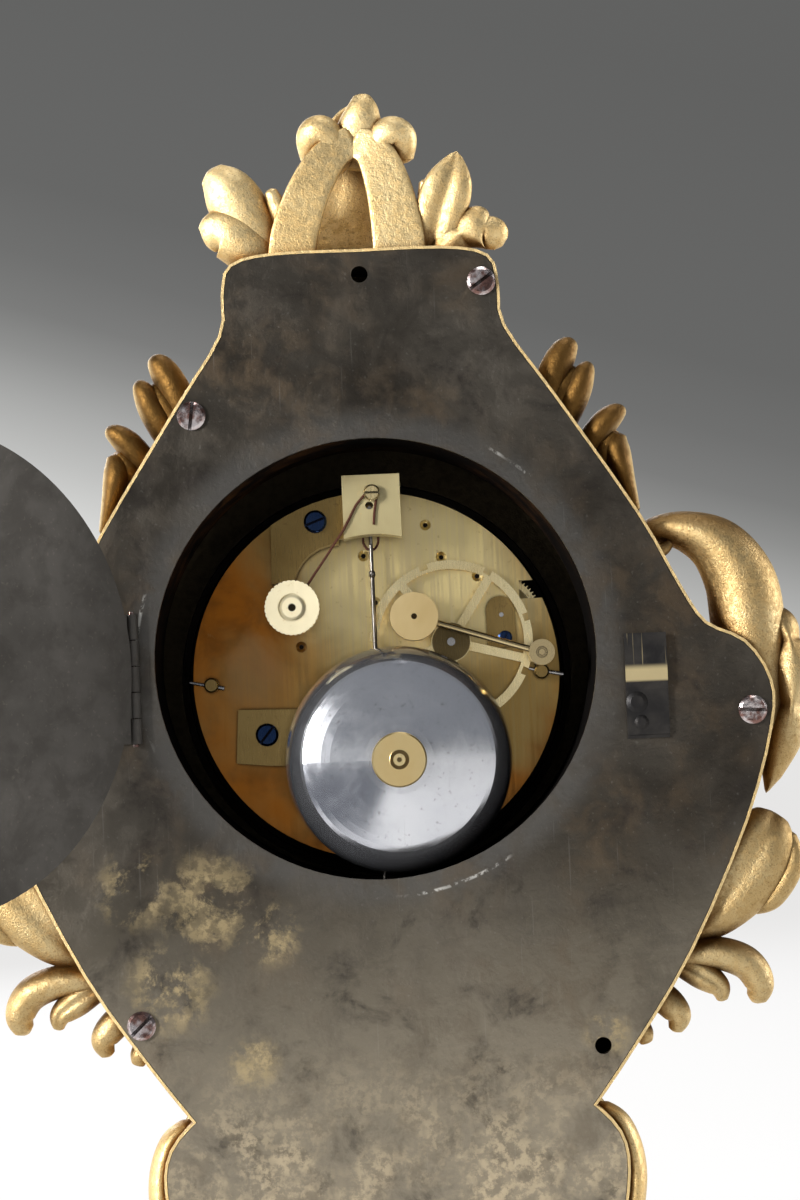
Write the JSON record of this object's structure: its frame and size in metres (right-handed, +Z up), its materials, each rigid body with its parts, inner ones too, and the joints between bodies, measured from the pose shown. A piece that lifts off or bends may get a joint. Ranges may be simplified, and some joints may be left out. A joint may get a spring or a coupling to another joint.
{
  "type": "cartel clock",
  "caption": "Gilt wall clock with cartouche case, round rear door, and a striking movement with silk suspension, count wheel and bell",
  "frame": {"origin": "centre of the round rear opening on the rear face of the back panel", "axes": "+Y out of the back, dial faces -Y, +Z up"},
  "size_m": [0.2736, 0.1878, 0.372],
  "materials": {
    "gilt_bronze": "fire-gilt, matte with burnished edges",
    "patinated_brass": "dark patina, rubbed",
    "bright_brass": "grained brass",
    "steel": "worn steel",
    "blued_steel": "blued",
    "dark_sheet": "blackened sheet",
    "bell_metal": "polished grey bell metal",
    "silk": "silk thread",
    "enamel": "white enamel",
    "glass": "clear"
  },
  "bodies": {
    "case": {"case_shell": "gilt_bronze", "back_panel": "patinated_brass", "panel_screws": "steel", "dust_drum": "dark_sheet", "crown": "gilt_bronze", "shoulder_leaves": "gilt_bronze", "side_scrolls": "gilt_bronze", "lower_leaves": "gilt_bronze", "lower_scrolls": "gilt_bronze", "base_leaf": "gilt_bronze", "case_hinge_leaf": "patinated_brass", "door_hinge_pin": "steel", "catch_base": "steel", "catch_rivets": "steel", "back_plate": "bright_brass", "front_plate": "bright_brass", "pillars": "bright_brass", "pillar_pins": "steel", "pallet_cock": "bright_brass", "strike_cock": "bright_brass", "movement_screws": "blued_steel", "suspension_block": "bright_brass", "silk_thread": "silk", "bell_bracket": "bright_brass", "bell": "bell_metal", "bell_nut": "bright_brass", "dial_plate": "bright_brass", "dial": "enamel", "bezel_hinge": "gilt_bronze"},
    "rear_door": {"rear_door": "patinated_brass", "door_hinge_leaf": "patinated_brass", "door_rivets": "patinated_brass"},
    "catch": {"catch_spring": "steel"},
    "bezel": {"bezel_ring": "gilt_bronze", "bezel_glass": "glass"},
    "centre": {"centre_wheel": "bright_brass", "minute_hand": "gilt_bronze", "hand_nut": "gilt_bronze"},
    "motion": {"minute_wheel": "bright_brass"},
    "hour": {"hour_wheel": "bright_brass", "hour_hand": "gilt_bronze"},
    "barrel_going": {"going_barrel": "bright_brass", "going_spring": "blued_steel"},
    "winding_going": {"going_arbor": "steel"},
    "intermediate": {"intermediate_wheel": "bright_brass"},
    "third": {"third_wheel": "bright_brass"},
    "escape": {"escape_wheel": "bright_brass"},
    "crutch": {"anchor_crutch": "steel"},
    "pendulum": {"pendulum": "steel"},
    "barrel_strike": {"strike_barrel": "bright_brass", "strike_spring": "blued_steel"},
    "winding_strike": {"strike_arbor": "steel"},
    "second": {"second_wheel": "bright_brass", "count_wheel": "bright_brass"},
    "pin": {"pin_wheel": "bright_brass"},
    "locking": {"locking_wheel": "bright_brass"},
    "warning": {"warning_wheel": "bright_brass"},
    "fly": {"fly": "bright_brass"},
    "hammer": {"hammer": "bright_brass"},
    "knob": {"silk_knob": "bright_brass"}
  },
  "joints": [
    {"name": "door_swing", "type": "hinge", "parent": "case", "child": "rear_door", "pos_m": [0.0633, 0.002, -0.003], "axis": [0, 0, 1], "range_deg": [-20, 138]},
    {"name": "catch_flex", "type": "hinge", "parent": "case", "child": "catch", "pos_m": [-0.0687, 0.001, -0.0197], "axis": [0, -1, 0], "range_deg": [0, 14], "stiffness_Nm_per_rad": 0.08},
    {"name": "bezel_swing", "type": "hinge", "parent": "case", "child": "bezel", "pos_m": [0.065, -0.0804, -0.0037], "axis": [0, 0, 1], "range_deg": [0, 110]},
    {"name": "centre_turn", "type": "hinge", "parent": "case", "child": "centre", "pos_m": [0, -0.05, -0.0037], "axis": [0, -1, 0], "continuous": true},
    {"name": "motion_turn", "type": "hinge", "parent": "case", "child": "motion", "pos_m": [-0.0095, -0.078, 0.0033], "axis": [0, -1, 0], "continuous": true},
    {"name": "hour_turn", "type": "hinge", "parent": "case", "child": "hour", "pos_m": [0, -0.08, -0.0037], "axis": [0, -1, 0], "continuous": true},
    {"name": "going_barrel_turn", "type": "hinge", "parent": "case", "child": "barrel_going", "pos_m": [0.022, -0.06, -0.0177], "axis": [0, -1, 0], "continuous": true},
    {"name": "going_winding", "type": "hinge", "parent": "case", "child": "winding_going", "pos_m": [0.022, -0.06, -0.0177], "axis": [0, -1, 0], "continuous": true},
    {"name": "intermediate_turn", "type": "hinge", "parent": "case", "child": "intermediate", "pos_m": [0.0202, -0.05, 0.0048], "axis": [0, -1, 0], "continuous": true},
    {"name": "third_turn", "type": "hinge", "parent": "case", "child": "third", "pos_m": [-0.0006, -0.05, 0.0161], "axis": [0, -1, 0], "continuous": true},
    {"name": "escape_turn", "type": "hinge", "parent": "case", "child": "escape", "pos_m": [0.0022, -0.05, 0.029], "axis": [0, -1, 0], "continuous": true},
    {"name": "crutch_swing", "type": "hinge", "parent": "case", "child": "crutch", "pos_m": [0, -0.03, 0.0413], "axis": [0, -1, 0], "range_deg": [-2, 2]},
    {"name": "pendulum_swing", "type": "hinge", "parent": "case", "child": "pendulum", "pos_m": [0, -0.028, 0.0413], "axis": [0, -1, 0], "range_deg": [-2, 2]},
    {"name": "strike_barrel_turn", "type": "hinge", "parent": "case", "child": "barrel_strike", "pos_m": [-0.022, -0.06, -0.0177], "axis": [0, -1, 0], "continuous": true},
    {"name": "strike_winding", "type": "hinge", "parent": "case", "child": "winding_strike", "pos_m": [-0.022, -0.06, -0.0177], "axis": [0, -1, 0], "continuous": true},
    {"name": "count_turn", "type": "hinge", "parent": "case", "child": "second", "pos_m": [-0.0207, -0.04, 0.0044], "axis": [0, -1, 0], "continuous": true},
    {"name": "pin_turn", "type": "hinge", "parent": "case", "child": "pin", "pos_m": [-0.0348, -0.045, 0.0113], "axis": [0, -1, 0], "continuous": true},
    {"name": "locking_turn", "type": "hinge", "parent": "case", "child": "locking", "pos_m": [-0.0287, -0.045, 0.0222], "axis": [0, -1, 0], "continuous": true},
    {"name": "warning_turn", "type": "hinge", "parent": "case", "child": "warning", "pos_m": [-0.0191, -0.045, 0.0278], "axis": [0, -1, 0], "continuous": true},
    {"name": "fly_turn", "type": "hinge", "parent": "case", "child": "fly", "pos_m": [-0.0151, -0.045, 0.0368], "axis": [0, -1, 0], "continuous": true},
    {"name": "hammer_lift", "type": "hinge", "parent": "case", "child": "hammer", "pos_m": [-0.0448, -0.03, 0.0003], "axis": [0, -1, 0], "range_deg": [-1, 12]},
    {"name": "knob_turn", "type": "hinge", "parent": "case", "child": "knob", "pos_m": [0.0219, -0.025, 0.015], "axis": [0, -1, 0], "continuous": true}
  ],
  "couplings": [
    {"joint": "motion_turn", "follows": "centre_turn", "ratio": -0.33333},
    {"joint": "hour_turn", "follows": "centre_turn", "ratio": 0.083333},
    {"joint": "going_barrel_turn", "follows": "centre_turn", "ratio": 0.02381},
    {"joint": "intermediate_turn", "follows": "centre_turn", "ratio": -0.16667},
    {"joint": "third_turn", "follows": "centre_turn", "ratio": -10.5},
    {"joint": "escape_turn", "follows": "centre_turn", "ratio": 105},
    {"joint": "crutch_swing", "follows": "pendulum_swing", "ratio": 1},
    {"joint": "count_turn", "follows": "pin_turn", "ratio": -0.088889},
    {"joint": "strike_barrel_turn", "follows": "pin_turn", "ratio": 0.012698},
    {"joint": "locking_turn", "follows": "pin_turn", "ratio": -8},
    {"joint": "warning_turn", "follows": "pin_turn", "ratio": 48},
    {"joint": "fly_turn", "follows": "pin_turn", "ratio": -240}
  ]
}
